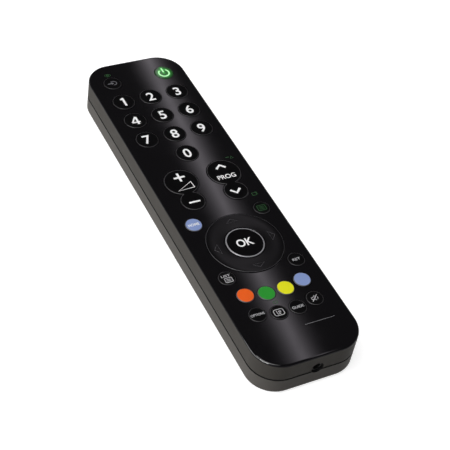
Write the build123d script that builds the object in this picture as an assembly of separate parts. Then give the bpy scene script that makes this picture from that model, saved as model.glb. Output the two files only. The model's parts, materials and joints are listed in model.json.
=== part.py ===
from build123d import *
import math
import os

os.makedirs("parts", exist_ok=True)

# Universal remote control, in millimetres.
# Origin: middle of the flat back. +Z runs up to the face, +Y to the end that
# points at the television, +X to the right of a person who holds it.

# Case
width = 48.0
length = 191.5
face_height = 17.4
corner_r = 12.5
back_edge_r = 1.8
wall = 1.8
floor = 1.5
plate = 0.9
plate_edge_r = 0.6
deck = 1.0

# Parting line between the two shells
seam_height = 8.45
seam_gap = 0.5
tongue = 0.8
tongue_rise = 1.45
tongue_gap = 0.1

# What every key shares
key_proud = 0.25
key_gap = 0.15
key_lip = 0.45
key_flange = 0.5
key_stop_gap = 0.1
key_travel = 0.7
key_floor_gap = 0.1
key_edge_r = 0.25
post_r = 1.4
post_drop = 0.5
post_gap = 0.3

# Key sizes
digit_r = 5.15
small_r = 3.65
power_r = 4.5
input_r = 4.2

# Places on the face, as shares of half its width and half its length.
# The number keys are a block of three by three and one key under it.
column_share = 0.569
zero_share = 0.2804
row_share = 0.1431
power_shares = (0.5595, 0.8642)
input_shares = (-0.563, 0.8565)
rocker_x_share = 0.4354
rocker_big_share = 0.1086
nav_share = -0.3285
high_corner_share = 0.6805
low_corner_share = 0.677

# Rockers: two lobes each, the large one towards the far end
rocker_span = 12.25
rocker_big_r = 7.7
rocker_small_r = 5.45
rocker_gap = 0.25
rocker_low_gap = 0.4
rocker_tilt = 2.5
trunnion_r = 0.5
trunnion_gap = 0.06
trunnion_drop = 0.75
trunnion_reach = 1.3
saddle_wall = 0.65
saddle_gap = 0.25
plunger_r = 1.6

# Navigation ring and the key in its middle
nav_r = 16.8
nav_band = 8.1
nav_gap = 0.25
nav_lip = 0.5
nav_lip_thick = 0.5
nav_wall = 0.9
nav_tilt = 1.2
ok_gap = 0.3
ok_lip = 0.8
ok_flange = 0.4
ok_travel = 0.5
pad = 0.5
pad_side_gap = 0.4

# Small keys around the ring
corner_gap_high = 2.65
corner_gap_low = 2.13

# Two rows of four small keys that sag in the middle
small_space = 1.5
colour_row_gap = 9.65
bottom_row_drop = 10.8
row_sag = 1.8

# Keypad sheet and circuit board
sheet = 0.5
board = 1.0
board_side_gap = 2.2
board_end_gap = 5.95
board_corner_r = 8.0
neck_width = 25.0
neck_end_gap = 4.0
board_near_gap = 9.95
boss_notch_gap = 0.4
sheet_margin = 0.6
sheet_ring_gap = 0.3
sheet_ring_rim = 0.4

# Battery bay, for two AAA cells side by side
cell_r = 5.25
cell_length = 44.5
cell_nub_r = 1.9
cell_nub = 0.8
cell_edge_r = 0.5
cell_pitch = 11.4
cell_gap = 0.1
cell_side_gap = 0.45
bay_end_gap = 21.45
bay_wall = 1.2
spring_length = 5.7
spring_wide_r = 3.6
spring_narrow_r = 2.4
spring_wire = 0.6
contact = 0.4
contact_height = 8.0
contact_half = 4.6

# Battery cover, hinged at its far edge
cover = 1.3
cover_gap = 0.2
cover_over = 2.4
cover_lift_gap = 0.1
ledge = 1.2
ledge_rim = 1.2
barrel_r = 1.0
barrel_gap = 0.15
pin_r = 0.5
pin_gap = 0.06
pin_length = 0.9
pin_end_gap = 0.1
latch_width = 9.0
latch_height = 2.6
latch_thick = 0.9
latch_gap = 0.15
grip_count = 5
grip_width = 16.0
grip_pitch = 1.8
grip_groove = 0.7
grip_depth = 0.35
grip_inset = 6.0
notch_width = 14.0
notch_r = 3.2
notch_depth = 1.0

# Case screws and their bosses
screw_side_gap = 4.4
screw_corner_gap = 7.9
screw_r = 1.1
screw_pilot_gap = 0.04
screw_free_gap = 0.2
screw_length = 10.2
screw_head_r = 2.1
screw_head = 1.4
screw_sink = 1.2
screw_head_gap = 0.25
screw_slot = 0.6
screw_slot_depth = 0.7
boss_r = 2.2
boss_wall = 1.1
stand_r = 1.8
stand_x = 9.0
stand_shares = (0.042, 0.794)

# Jack socket in the near end
jack_x = 1.0
jack_rise = 1.45
jack_hole_r = 2.75
jack_barrel_r = 2.4
jack_bore_r = 1.8
jack_depth = 14.0
jack_recess = 1.0
jack_body_half = 3.1
jack_body_below = 2.7
jack_back_wall = 1.0
jack_front_gap = 0.35

# Infrared window and light sources at the far end
window_half = 9.0
window_height = 4.2
window_lift = 0.4
window_gap = 0.1
window_lip = 0.7
window_lip_thick = 0.8
ir_x = 4.5
ir_r = 1.5
ir_collar_r = 1.9
ir_collar = 0.8
ir_body = 2.6
ir_drop = 0.25
ir_gap = 0.6
lead = 0.5
lead_space = 1.27
lead_on_board = 3.0

# Parts on the board
power_led_width = 1.6
power_led_depth = 0.8
power_led_height = 0.4
power_led_offset = 2.6
power_led_gap = 0.4
chip_width = 7.6
chip_length = 18.0
chip_height = 2.0
chip_share = 0.397
chip_leg = 1.2
chip_leg_count = 14
chip_leg_pitch = 1.27
chip_leg_width = 0.45
chip_leg_thick = 0.25
memory_size = 4.9
memory_depth = 3.9
memory_height = 1.5
memory_shares = (0.417, 0.209)
resonator_width = 7.0
resonator_depth = 3.0
resonator_height = 4.5
resonator_shares = (-0.417, 0.209)
capacitor_r = 2.5
capacitor_length = 7.0
capacitor_shares = (0.375, 0.648)
capacitor_gap = 0.1
transistor_r = 2.3
transistor_height = 4.6
transistor_shares = (-0.333, 0.668)

# One overrun for every cut that passes a face
over = 1.0

# Heights, worked down from the face
half_w = width / 2
half_l = length / 2
key_top = face_height + key_proud
plate_low = face_height - plate
deck_low = plate_low - deck
flange_top = deck_low - key_stop_gap
flange_low = flange_top - key_flange
sheet_top = flange_low - key_travel - key_floor_gap
board_top = sheet_top - sheet
board_low = board_top - board
jack_z = seam_height + jack_rise
seam_top = seam_height + seam_gap / 2
seam_low = seam_height - seam_gap / 2
tongue_top = seam_top + tongue_rise

# Heights, worked up from the back
cell_z = cover + cell_gap + cell_r
bay_roof_low = cell_z + cell_r + cell_gap
ledge_low = cover + cover_lift_gap
ledge_top = ledge_low + ledge
head_low = screw_sink
head_top = screw_sink + screw_head

# Places along the length
bay_length = cell_length + spring_length + contact * 2
bay_near_y = -half_l + wall + bay_end_gap
bay_far_y = bay_near_y + bay_length
bay_half = cell_pitch / 2 + cell_r + cell_side_gap
cover_half = bay_half + cover_over
cover_near_y = bay_near_y - cover_over
barrel_y = bay_far_y + cover_over - barrel_r
small_pitch = small_r * 2 + small_space
nav_y = half_l * nav_share
nav_hole_r = nav_r - nav_band
rocker_x = half_w * rocker_x_share
rocker_big_y = half_l * rocker_big_share
rocker_small_y = rocker_big_y - rocker_span
colour_row_y = nav_y - nav_r - colour_row_gap
bottom_row_y = colour_row_y - bottom_row_drop
zero_y = half_l * zero_share
screw_far_y = half_l * (zero_share + row_share * 2.5)
screw_near_y = screw_corner_gap - half_l
screw_places = [(side * (half_w - screw_side_gap), screw_far_y) for side in (-1, 1)]
screw_places += [(side * (half_w - screw_corner_gap), screw_near_y) for side in (-1, 1)]


def place(shares):
    """A place on the face from its shares of half the width and half the length."""
    return (half_w * shares[0], half_l * shares[1])


def corner_place(x_share, gap, up):
    """A small key beside the ring, up or down from the ring's middle."""
    x = half_w * x_share
    rise = math.sqrt((nav_r + gap + small_r) ** 2 - x**2)
    return (x, nav_y + up * rise)


def digit_place(n):
    """The keys 1 to 9, left to right and from the far end on."""
    row, column = divmod(n - 1, 3)
    return place((column_share * (column - 1), zero_share + row_share * (3 - row)))


def row_place(column, y):
    """A row of four, in which the two inner keys sit lower."""
    x = small_pitch * (column - 1.5)
    sag = row_sag if column in (1, 2) else 0
    return (x, y - sag)


# Every round key that is pressed straight down: its middle and its radius
push_keys = {
    "key_power": (*place(power_shares), power_r),
    "key_input": (*place(input_shares), input_r),
    "key_0": (0, zero_y, digit_r),
    "key_home": (*corner_place(-high_corner_share, corner_gap_high, 1), small_r),
    "key_text": (*corner_place(high_corner_share, corner_gap_high, 1), small_r),
    "key_list": (*corner_place(-low_corner_share, corner_gap_low, -1), small_r),
    "key_return": (*corner_place(low_corner_share, corner_gap_low, -1), small_r),
}
for n in range(1, 10):
    push_keys[f"key_{n}"] = (*digit_place(n), digit_r)
for column, name in enumerate(["red", "green", "yellow", "blue"]):
    push_keys[f"key_{name}"] = (*row_place(column, colour_row_y), small_r)
for column, name in enumerate(["options", "subtitle", "guide", "mute"]):
    push_keys[f"key_{name}"] = (*row_place(column, bottom_row_y), small_r)

rockers = {"key_volume": -rocker_x, "key_programme": rocker_x}


def disc(x, y, r, low, high):
    """A round prism between two heights."""
    return Pos(x, y, low) * extrude(Circle(r), amount=high - low)


def box(x0, x1, y0, y1, z0, z1):
    """A box between two corners."""
    middle = Pos((x0 + x1) / 2, (y0 + y1) / 2, (z0 + z1) / 2)
    return middle * Box(x1 - x0, y1 - y0, z1 - z0)


def slab(inset, low, high):
    """The outline of the case, drawn in by an inset, between two heights."""
    outline = RectangleRounded(width - inset * 2, length - inset * 2, corner_r - inset)
    return Pos(0, 0, low) * extrude(outline, amount=high - low)


def rod_x(y, z, r, x0, x1):
    """A round bar along X."""
    return Pos((x0 + x1) / 2, y, z) * Rot(0, 90, 0) * Cylinder(r, x1 - x0)


def rod_y(x, z, r, y0, y1):
    """A round bar along Y."""
    return Pos(x, (y0 + y1) / 2, z) * Rot(90, 0, 0) * Cylinder(r, y1 - y0)


def top_edges(part, height, tolerance=0.01):
    """The edges that lie at one height."""
    edges = part.edges().filter_by(GeomType.CIRCLE)
    return [e for e in edges if abs(e.center().Z - height) < tolerance]


# The waist of a rocker, where its two lobes meet
lobe_terms = rocker_span**2 + rocker_big_r**2 - rocker_small_r**2
waist_reach = lobe_terms / (rocker_span * 2)
waist_y = rocker_big_y - waist_reach
trunnion_z = deck_low - trunnion_drop
trunnion_half = rocker_small_r + saddle_gap + trunnion_reach
plunger_dip = math.sin(math.radians(rocker_tilt)) * (waist_reach + plunger_r)
plunger_low = sheet_top + plunger_dip + key_floor_gap


def rocker_outline(x, grow):
    """Two lobes that run into each other."""
    big = Pos(x, rocker_big_y) * Circle(rocker_big_r + grow)
    return big + Pos(x, rocker_small_y) * Circle(rocker_small_r + grow)


def key_openings():
    """The holes that the plate and the deck share."""
    holes = [Pos(x, y) * Circle(r + key_gap) for x, y, r in push_keys.values()]
    holes += [rocker_outline(x, rocker_gap) for x in rockers.values()]
    holes.append(Pos(0, nav_y) * Circle(nav_r + nav_gap))
    return Pos(0, 0, deck_low - over) * extrude(Sketch() + holes, amount=face_height)


def jack_opening():
    """The round opening in the near end, half in each shell."""
    return rod_y(jack_x, jack_z, jack_hole_r, -half_l - over, -half_l + wall + over)


def face_plate(openings):
    """The glossy plate over the whole face, with a rounded rim."""
    plate_body = slab(0, plate_low, face_height)
    rim = plate_body.faces().sort_by(Axis.Z)[-1].edges()
    return fillet(rim, plate_edge_r) - openings


def saddle(x, side):
    """An open bearing under the deck for one end of a rocker's trunnion."""
    near = x + side * (rocker_small_r + saddle_gap)
    far = near + side * trunnion_reach
    low = trunnion_z - trunnion_r + trunnion_gap
    reach = trunnion_r + trunnion_gap
    half = reach + saddle_wall
    x0, x1 = sorted((near, far))
    block = box(x0, x1, waist_y - half, waist_y + half, low, deck_low)
    block -= rod_x(waist_y, trunnion_z, reach, x0 - over, x1 + over)
    mouth = box(x0 - over, x1 + over, waist_y - reach, waist_y + reach, low - over, trunnion_z)
    return block - mouth


def upper_case(openings):
    """The shell from the parting line up to the deck under the plate."""
    shell = slab(0, seam_top, plate_low) - slab(wall, seam_top - over, deck_low)
    shell -= slab(wall - tongue - tongue_gap, seam_top - over, tongue_top)
    for x, y in screw_places:
        shell += disc(x, y, boss_r, tongue_top, deck_low)
        shell -= disc(x, y, screw_r + screw_pilot_gap, tongue_top - over, deck_low - over)
    shell -= openings
    for x in rockers.values():
        shell += saddle(x, -1)
        shell += saddle(x, 1)
    low = tongue_top + window_lift
    high = low + window_height
    shell -= box(-window_half, window_half, half_l - wall - over, half_l + over, low, high)
    return shell - jack_opening()


def battery_bay():
    """The tray that holds the cells, with the seat of the cover around it."""
    rim = cover_half + cover_gap + ledge_rim
    near = cover_near_y - cover_gap - ledge_rim
    far = bay_far_y + cover_over + cover_gap + ledge_rim
    seat = box(-rim, rim, near, far, 0, ledge_top)
    tray_half = bay_half + bay_wall
    tray = box(-tray_half, tray_half, bay_near_y - bay_wall, bay_far_y + bay_wall, 0, board_low)
    return seat + tray


def battery_space():
    """What is cut out for the cover, its hinge and the cells."""
    half = cover_half + cover_gap
    space = box(-half, half, cover_near_y - cover_gap, barrel_y, -over, ledge_low)
    space += box(-bay_half, bay_half, bay_near_y, bay_far_y, 0, bay_roof_low)
    reach = barrel_r + barrel_gap
    space += rod_x(barrel_y, barrel_r, reach, -half, half)
    space += box(-half, half, barrel_y - reach, barrel_y + reach, -over, barrel_r)
    pin_half = half + pin_length
    space += rod_x(barrel_y, barrel_r, pin_r + pin_gap, -pin_half, pin_half)
    latch_half = latch_width / 2 + latch_gap
    latch_y = cover_near_y + latch_thick + latch_gap
    space += box(-latch_half, latch_half, cover_near_y - cover_gap, latch_y, 0, ledge_top + over)
    notch_z = notch_depth - notch_r
    return space + rod_x(cover_near_y - cover_gap, notch_z, notch_r, -notch_width / 2, notch_width / 2)


def lower_case():
    """The shell from the flat back up to the parting line."""
    body = slab(0, 0, seam_low)
    back = body.faces().sort_by(Axis.Z)[0].edges()
    body = fillet(back, back_edge_r)
    body -= slab(wall, floor, seam_low + over)
    body += slab(wall - tongue, floor, tongue_top) - slab(wall, floor - over, tongue_top + over)
    inside = slab(wall - tongue, 0, board_low)
    body += battery_bay() & inside
    for x, y in screw_places:
        body += disc(x, y, boss_r + boss_wall, floor / 2, tongue_top) & inside
    for share in stand_shares:
        body += disc(-stand_x, half_l * share, stand_r, floor / 2, board_low)
        body += disc(stand_x, half_l * share, stand_r, floor / 2, board_low)
    for x, y in screw_places:
        body -= disc(x, y, screw_r + screw_free_gap, -over, tongue_top + over)
        body -= disc(x, y, screw_head_r + screw_head_gap, -over, head_top)
    return body - battery_space() - jack_opening()


def push_key(x, y, r):
    """A round key: cap, flange under the deck and post over its contact."""
    cap = disc(x, y, r, flange_low, key_top)
    cap = fillet(top_edges(cap, key_top), key_edge_r)
    cap += disc(x, y, r + key_lip, flange_low, flange_top)
    return cap + disc(x, y, post_r, flange_low - post_drop, flange_low)


def rocker_key(x):
    """A rocker: two lobes on a trunnion, with a plunger under each lobe."""
    low = deck_low - rocker_low_gap
    cap = Pos(0, 0, low) * extrude(rocker_outline(x, 0), amount=key_top - low)
    cap = fillet(top_edges(cap, key_top), key_edge_r)
    cap += rod_x(waist_y, trunnion_z, trunnion_r, x - trunnion_half, x + trunnion_half)
    for y in (rocker_big_y, rocker_small_y):
        cap += disc(x, y, plunger_r, plunger_low, low)
    return cap


def ring(inner, outer, low, high):
    """A flat ring around the middle of the navigation keys."""
    return disc(0, nav_y, outer, low, high) - disc(0, nav_y, inner, low - over, high + over)


lip_inner_r = nav_r - nav_wall
pad_dip = math.sin(math.radians(nav_tilt)) * lip_inner_r
lip_rise = math.sin(math.radians(nav_tilt)) * (nav_r + nav_lip) * math.sqrt(2)
ring_low = deck_low - pad_dip - key_stop_gap * 2
lip_top = deck_low - lip_rise - key_stop_gap
lip_low = lip_top - nav_lip_thick
pad_top = ring_low - pad_dip - key_stop_gap
ok_low = board_top + ok_travel + key_floor_gap


def key_nav_ring():
    """The rocking ring, with a lip under the deck that keeps it in."""
    body = ring(nav_hole_r, nav_r, ring_low, key_top)
    body = fillet(top_edges(body, key_top), key_edge_r)
    body += ring(lip_inner_r, nav_r, lip_low, ring_low)
    return body + ring(lip_inner_r, nav_r + nav_lip, lip_low, lip_top)


def key_ok():
    """The middle key, kept in by the ring around it."""
    r = nav_hole_r - ok_gap
    cap = disc(0, nav_y, r, ok_low, key_top)
    cap = fillet(top_edges(cap, key_top), key_edge_r)
    return cap + disc(0, nav_y, r + ok_lip, ok_low, ok_low + ok_flange)


def nav_pad():
    """The soft pad that the ring rocks on."""
    inner = nav_hole_r - ok_gap + ok_lip + pad_side_gap
    return ring(inner, lip_inner_r - pad_side_gap, pad_top - pad, pad_top)


def board_outline(inset):
    """The board between the walls, with a neck towards the jack socket."""
    far = half_l - wall - board_end_gap - inset
    near = -half_l + wall + board_near_gap + inset
    across = width - (wall + board_side_gap + inset) * 2
    main = Pos(0, (far + near) / 2) * RectangleRounded(across, far - near, board_corner_r)
    end = -half_l + wall + neck_end_gap + inset
    neck = Pos(0, (end + near + board_corner_r) / 2)
    main += neck * Rectangle(neck_width, near + board_corner_r - end)
    for x, y in screw_places:
        main -= Pos(x, y) * Circle(boss_r + boss_notch_gap + inset)
    return main


def circuit_board():
    """The board that carries the contacts and the parts."""
    return Pos(0, 0, board_low) * extrude(board_outline(0), amount=board)


def keypad_sheet():
    """The silicone sheet on the board, open where keys and lamps reach it."""
    holes = [Pos(x, y) * Circle(post_r + post_gap) for x, y, r in push_keys.values()]
    ring_hole_r = nav_r + nav_lip + sheet_ring_gap
    holes.append(Pos(0, nav_y) * Circle(ring_hole_r))
    x, y = power_led_place()
    lamp = Rectangle(power_led_width + power_led_gap * 2, power_led_depth + power_led_gap * 2)
    holes.append(Pos(x, y) * lamp)
    for side in rockers.values():
        for y in (rocker_big_y, rocker_small_y):
            holes.append(Pos(side, y) * Circle(post_r))
    outline = board_outline(sheet_margin) + Pos(0, nav_y) * Circle(ring_hole_r + sheet_ring_rim)
    return Pos(0, 0, board_top) * extrude(outline - holes, amount=sheet)


def power_led_place():
    """The lamp lies beside the post of the power key."""
    x, y, r = push_keys["key_power"]
    return (x, y + power_led_offset)


def power_led():
    """The green lamp under the power key."""
    x, y = power_led_place()
    half = power_led_width / 2
    depth = power_led_depth / 2
    return box(x - half, x + half, y - depth, y + depth, board_top, board_top + power_led_height)


def controller_chip():
    """The main chip under the board, with a row of legs on each long side."""
    half = chip_width / 2
    chip_y = half_l * chip_share
    y0 = chip_y - chip_length / 2
    body = box(-half, half, y0, y0 + chip_length, board_low - chip_height, board_low)
    for n in range(chip_leg_count):
        y = chip_y + chip_leg_pitch * (n - (chip_leg_count - 1) / 2)
        y0 = y - chip_leg_width / 2
        y1 = y + chip_leg_width / 2
        body += box(-half - chip_leg, half + chip_leg, y0, y1, board_low - chip_leg_thick, board_low)
    return body


def block_part(shares, across, deep, high):
    """A plain part that is soldered under the board."""
    x, y = place(shares)
    return box(x - across / 2, x + across / 2, y - deep / 2, y + deep / 2, board_low - high, board_low)


def capacitor():
    """A small can that lies along the board."""
    x, y = place(capacitor_shares)
    z = board_low - capacitor_gap - capacitor_r
    half = capacitor_length / 2
    return rod_y(x, z, capacitor_r, y - half, y + half)


def driver_transistor():
    """A small round-backed part with one flat side."""
    x, y = place(transistor_shares)
    low = board_low - transistor_height
    body = disc(x, y, transistor_r, low, board_low)
    flat = y - transistor_r / 2
    reach = transistor_r + over
    return body - box(x - reach, x + reach, y - reach, flat, low - over, board_low + over)


def battery_cell(x, way):
    """An AAA cell; way is 1 where its nub points to the far end."""
    y0 = bay_near_y + contact
    y1 = bay_far_y - contact
    tip = y1 if way > 0 else y0
    base = tip - way * cell_length
    shoulder = tip - way * cell_nub
    can = rod_y(x, cell_z, cell_r, *sorted((base, shoulder)))
    can = fillet(can.edges().filter_by(GeomType.CIRCLE), cell_edge_r)
    return can + rod_y(x, cell_z, cell_nub_r, *sorted((shoulder, tip)))


def battery_spring(x, way):
    """The outer form of a tapered spring that presses on a cell's base."""
    seat = bay_near_y + contact if way > 0 else bay_far_y - contact
    turn = Rot(-90 * way, 0, 0)
    middle = Pos(x, seat + way * spring_length / 2, cell_z)
    outer = Cone(spring_wide_r, spring_narrow_r, spring_length)
    inner = Cone(spring_wide_r - spring_wire, spring_narrow_r - spring_wire, spring_length)
    return middle * turn * (outer - inner)


def battery_springs():
    """One spring at the base of each cell."""
    springs = [battery_spring(-cell_pitch / 2, 1), battery_spring(cell_pitch / 2, -1)]
    return Compound([s.solid() for s in springs])


def battery_contacts():
    """A bridge across both cells at the near end, two plates at the far end."""
    z0 = cell_z - contact_height / 2
    z1 = cell_z + contact_height / 2
    reach = cell_pitch / 2 + contact_half
    plates = [box(-reach, reach, bay_near_y, bay_near_y + contact, z0, z1)]
    for x in (-cell_pitch / 2, cell_pitch / 2):
        plates.append(box(x - contact_half, x + contact_half, bay_far_y - contact, bay_far_y, z0, z1))
    return Compound([p.solid() for p in plates])


def battery_cover():
    """The cover: a plate with a hinge barrel, a latch arm and a grip."""
    body = box(-cover_half, cover_half, cover_near_y, barrel_y, 0, cover)
    body += rod_x(barrel_y, barrel_r, barrel_r, -cover_half, cover_half)
    pin_half = cover_half + cover_gap + pin_length - pin_end_gap
    body += rod_x(barrel_y, barrel_r, pin_r, -pin_half, pin_half)
    latch_half = latch_width / 2
    body += box(-latch_half, latch_half, cover_near_y, cover_near_y + latch_thick, 0, latch_height)
    for n in range(grip_count):
        y = cover_near_y + grip_inset + grip_pitch * n
        y0 = y - grip_groove / 2
        y1 = y + grip_groove / 2
        body -= box(-grip_width / 2, grip_width / 2, y0, y1, -over, grip_depth)
    return body


def case_screws():
    """Four pan head screws with a crossed slot."""
    screws = []
    for x, y in screw_places:
        screw = disc(x, y, screw_head_r, head_low, head_top)
        screw += disc(x, y, screw_r, head_top, head_top + screw_length)
        arm = screw_head_r * 2 / 3
        slot_top = head_low + screw_slot_depth
        screw -= box(x - arm, x + arm, y - screw_slot / 2, y + screw_slot / 2, 0, slot_top)
        screw -= box(x - screw_slot / 2, x + screw_slot / 2, y - arm, y + arm, 0, slot_top)
        screws.append(screw.solid())
    return Compound(screws)


def jack_socket():
    """The socket: a barrel in the opening and a block under the board."""
    mouth = -half_l + jack_recess
    front = -half_l + wall + jack_front_gap
    back = mouth + jack_depth + jack_back_wall
    x0 = jack_x - jack_body_half
    x1 = jack_x + jack_body_half
    body = box(x0, x1, front, back, jack_z - jack_body_below, board_low)
    body += rod_y(jack_x, jack_z, jack_barrel_r, mouth, front + over)
    return body - rod_y(jack_x, jack_z, jack_bore_r, mouth - over, mouth + jack_depth)


def ir_window():
    """The dark window in the far end, with a lip behind the wall."""
    low = tongue_top + window_lift + window_gap
    high = tongue_top + window_lift + window_height - window_gap
    half = window_half - window_gap
    inner = half_l - wall
    body = box(-half, half, inner - window_lip_thick, half_l, low, high)
    lip = half + window_lip
    z0 = low - window_gap - window_lift / 2
    return body + box(-lip, lip, inner - window_lip_thick, inner, z0, high + window_lip)


def ir_leds():
    """Two infrared lamps that look through the window."""
    lamps = []
    z = board_low - ir_drop
    start = half_l - wall - board_end_gap + ir_gap
    for x in (-ir_x, ir_x):
        lamp = rod_y(x, z, ir_collar_r, start, start + ir_collar)
        lamp += rod_y(x, z, ir_r, start, start + ir_body)
        lamp += Pos(x, start + ir_body, z) * Sphere(ir_r)
        for side in (-lead_space, lead_space):
            middle = x + side
            y0 = start - ir_gap - lead_on_board
            y1 = start + ir_collar
            lamp += box(middle - lead / 2, middle + lead / 2, y0, y1, board_low - lead, board_low)
        lamps.append(lamp.solid())
    return Compound(lamps)


def save(name, part):
    """Write one piece and print its volume."""
    export_step(part, f"parts/{name}.step")
    print(f"{name:20s} solids {len(part.solids())}  volume {part.volume:10.2f}")


openings = key_openings()
save("face_plate", face_plate(openings))
save("upper_case", upper_case(openings))
save("lower_case", lower_case())
for name, (x, y, r) in push_keys.items():
    save(name, push_key(x, y, r))
for name, x in rockers.items():
    save(name, rocker_key(x))
save("key_nav_ring", key_nav_ring())
save("key_ok", key_ok())
save("nav_pad", nav_pad())
save("keypad_sheet", keypad_sheet())
save("circuit_board", circuit_board())
save("controller_chip", controller_chip())
save("memory_chip", block_part(memory_shares, memory_size, memory_depth, memory_height))
save("resonator", block_part(resonator_shares, resonator_width, resonator_depth, resonator_height))
save("capacitor", capacitor())
save("driver_transistor", driver_transistor())
save("power_led", power_led())
save("ir_leds", ir_leds())
save("ir_window", ir_window())
save("jack_socket", jack_socket())
save("battery_cover", battery_cover())
save("battery_cell_1", battery_cell(-cell_pitch / 2, 1))
save("battery_cell_2", battery_cell(cell_pitch / 2, -1))
save("battery_springs", battery_springs())
save("battery_contacts", battery_contacts())
save("case_screws", case_screws())
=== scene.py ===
import json
import math

import bmesh
import bpy
from mathutils import Matrix, Vector

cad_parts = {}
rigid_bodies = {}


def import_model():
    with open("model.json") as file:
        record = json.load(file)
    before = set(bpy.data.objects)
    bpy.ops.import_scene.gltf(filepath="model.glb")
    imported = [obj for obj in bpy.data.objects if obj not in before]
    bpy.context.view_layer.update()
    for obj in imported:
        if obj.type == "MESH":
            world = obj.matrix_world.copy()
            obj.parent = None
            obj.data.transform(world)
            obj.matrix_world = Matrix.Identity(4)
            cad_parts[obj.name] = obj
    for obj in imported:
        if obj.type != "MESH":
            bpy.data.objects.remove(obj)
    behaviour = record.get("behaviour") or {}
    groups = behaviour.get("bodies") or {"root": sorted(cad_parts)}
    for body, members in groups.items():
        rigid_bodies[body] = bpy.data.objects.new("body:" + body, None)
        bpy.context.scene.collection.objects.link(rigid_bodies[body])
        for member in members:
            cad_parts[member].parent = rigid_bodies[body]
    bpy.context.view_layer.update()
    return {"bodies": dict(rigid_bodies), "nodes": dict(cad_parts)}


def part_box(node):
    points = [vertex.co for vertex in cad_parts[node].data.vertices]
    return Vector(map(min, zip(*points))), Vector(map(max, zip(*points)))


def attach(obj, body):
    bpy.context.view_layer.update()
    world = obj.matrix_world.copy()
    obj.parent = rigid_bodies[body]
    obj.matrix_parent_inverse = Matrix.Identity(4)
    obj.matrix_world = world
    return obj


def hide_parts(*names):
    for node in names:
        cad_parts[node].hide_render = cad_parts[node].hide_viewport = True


bl_info = {
    "name": "Universal remote control",
    "version": (1, 0, 0),
    "blender": (4, 5, 0),
    "location": "View3D > Sidebar > Remote",
    "description": "Dresses the frame of a handheld remote control with its plate, keys, shells and studio",
    "category": "Add Mesh",
}

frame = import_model()

MM = 0.001
FULL = math.pi * 2
DIGITS = [f"key_{n}" for n in range(10)]
COLOURED = ["key_red", "key_green", "key_yellow", "key_blue"]
SMALL = ["key_home", "key_text", "key_list", "key_return"]
SMALL += ["key_options", "key_subtitle", "key_guide", "key_mute"]
ROUND = ["key_power", "key_input"] + DIGITS + COLOURED + SMALL


# Sizes and colours that a user would change


def length(name, description, mm):
    return bpy.props.FloatProperty(
        name=name, description=description, default=mm * MM, unit="LENGTH", precision=5)


def amount(name, description, value):
    return bpy.props.FloatProperty(name=name, description=description, default=value)


def shade(name, description, rgb):
    return bpy.props.FloatVectorProperty(
        name=name, description=description, subtype="COLOR", size=3, min=0, max=1, default=rgb)


class RemoteSizes(bpy.types.PropertyGroup):
    rim_width: length("Key outline", "Width of the grey line round each key", 0.25)
    rim_inset: length("Outline inset", "Black edge outside the grey line", 0.06)
    key_round: length("Key rounding", "Radius of the upper edge of a key", 0.22)
    plate_round: length("Plate rounding", "Radius of the upper edge of the face plate", 0.85)
    print_height: length("Print thickness", "How far the printed marks stand above a key", 0.02)
    digit_height: length("Number height", "Height of the numbers on the keys", 5.6)
    ring_dish: length("Ring dish", "How far the navigation ring dips towards its middle", 0.08)
    ok_line: length("Middle key line", "Width of the bright line round the middle key", 0.55)
    seam_round: length("Shell rounding", "Radius of the upper shell's edge at the parting line", 0.15)
    # The lower shell's dark edge at the parting line is painted shade; this is how deep it reaches.
    seam_shade: length("Seam shade", "Depth of the lower shell's dark edge at the parting line", 0.4)
    spring_wire: length("Spring wire", "Thickness of the battery springs' wire", 0.6)
    spring_turns: amount("Spring turns", "Number of turns of a battery spring", 4.5)


class RemoteColours(bpy.types.PropertyGroup):
    face: shade("Face plate", "Glossy black of the face plate", (0.0036, 0.0032, 0.0041))
    keys: shade("Keys", "Black of the keys", (0.0017, 0.0016, 0.0019))
    ring: shade("Navigation ring", "Satin black of the ring", (0.0040, 0.0038, 0.0043))
    upper: shade("Upper shell", "Warm grey of the upper shell", (0.0575, 0.0532, 0.0478))
    lower: shade("Lower shell", "Warm grey of the lower shell", (0.102, 0.0955, 0.0885))
    outline: shade("Key outline", "Grey of the line round each key", (0.057, 0.055, 0.059))
    print_white: shade("White print", "Numbers and words", (0.98, 0.98, 0.98))
    print_dim: shade("Dim print", "Small grey marks", (0.20, 0.20, 0.22))
    print_green: shade("Green print", "Small green marks", (0.014, 0.075, 0.018))
    red: shade("Red key", "Colour of the red key", (0.90, 0.125, 0.012))
    green: shade("Green key", "Colour of the green key", (0.024, 0.31, 0.03))
    yellow: shade("Yellow key", "Colour of the yellow key", (0.84, 0.83, 0.014))
    blue: shade("Blue key", "Colour of the blue keys", (0.25, 0.335, 0.62))
    lamp: shade("Power lamp", "Light of the power sign", (0.45, 1.0, 0.45))
    lamp_halo: shade("Lamp halo", "Glow round the power sign", (0.01, 0.32, 0.02))


class RemoteStudio(bpy.types.PropertyGroup):
    lens: amount("Lens", "Focal length of the camera in millimetres", 95.73)
    floor_size: length("Floor", "Half the side of the floor", 6000)
    overhead: amount("Overhead light", "Power of the soft light from above in watts", 16.5)
    side: amount("Side light", "Power of the soft light from the left in watts", 17.5)
    streak: amount("Strip light", "Brightness of the strip that the face reflects", 2.15)
    horizon: amount("Horizon", "Brightness of the room near the floor", 0.24)
    ceiling: amount("Ceiling", "Brightness of the room overhead", 0.06)


def sizes():
    return bpy.context.scene.remote_sizes


def colours():
    return bpy.context.scene.remote_colours


def studio():
    return bpy.context.scene.remote_studio


# Measures read from the frame


def spot(node):
    """The middle of a node, seen from above, and its half width."""
    low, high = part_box(node)
    return (low[0] + high[0]) / 2, (low[1] + high[1]) / 2, (high[0] - low[0]) / 2


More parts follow.
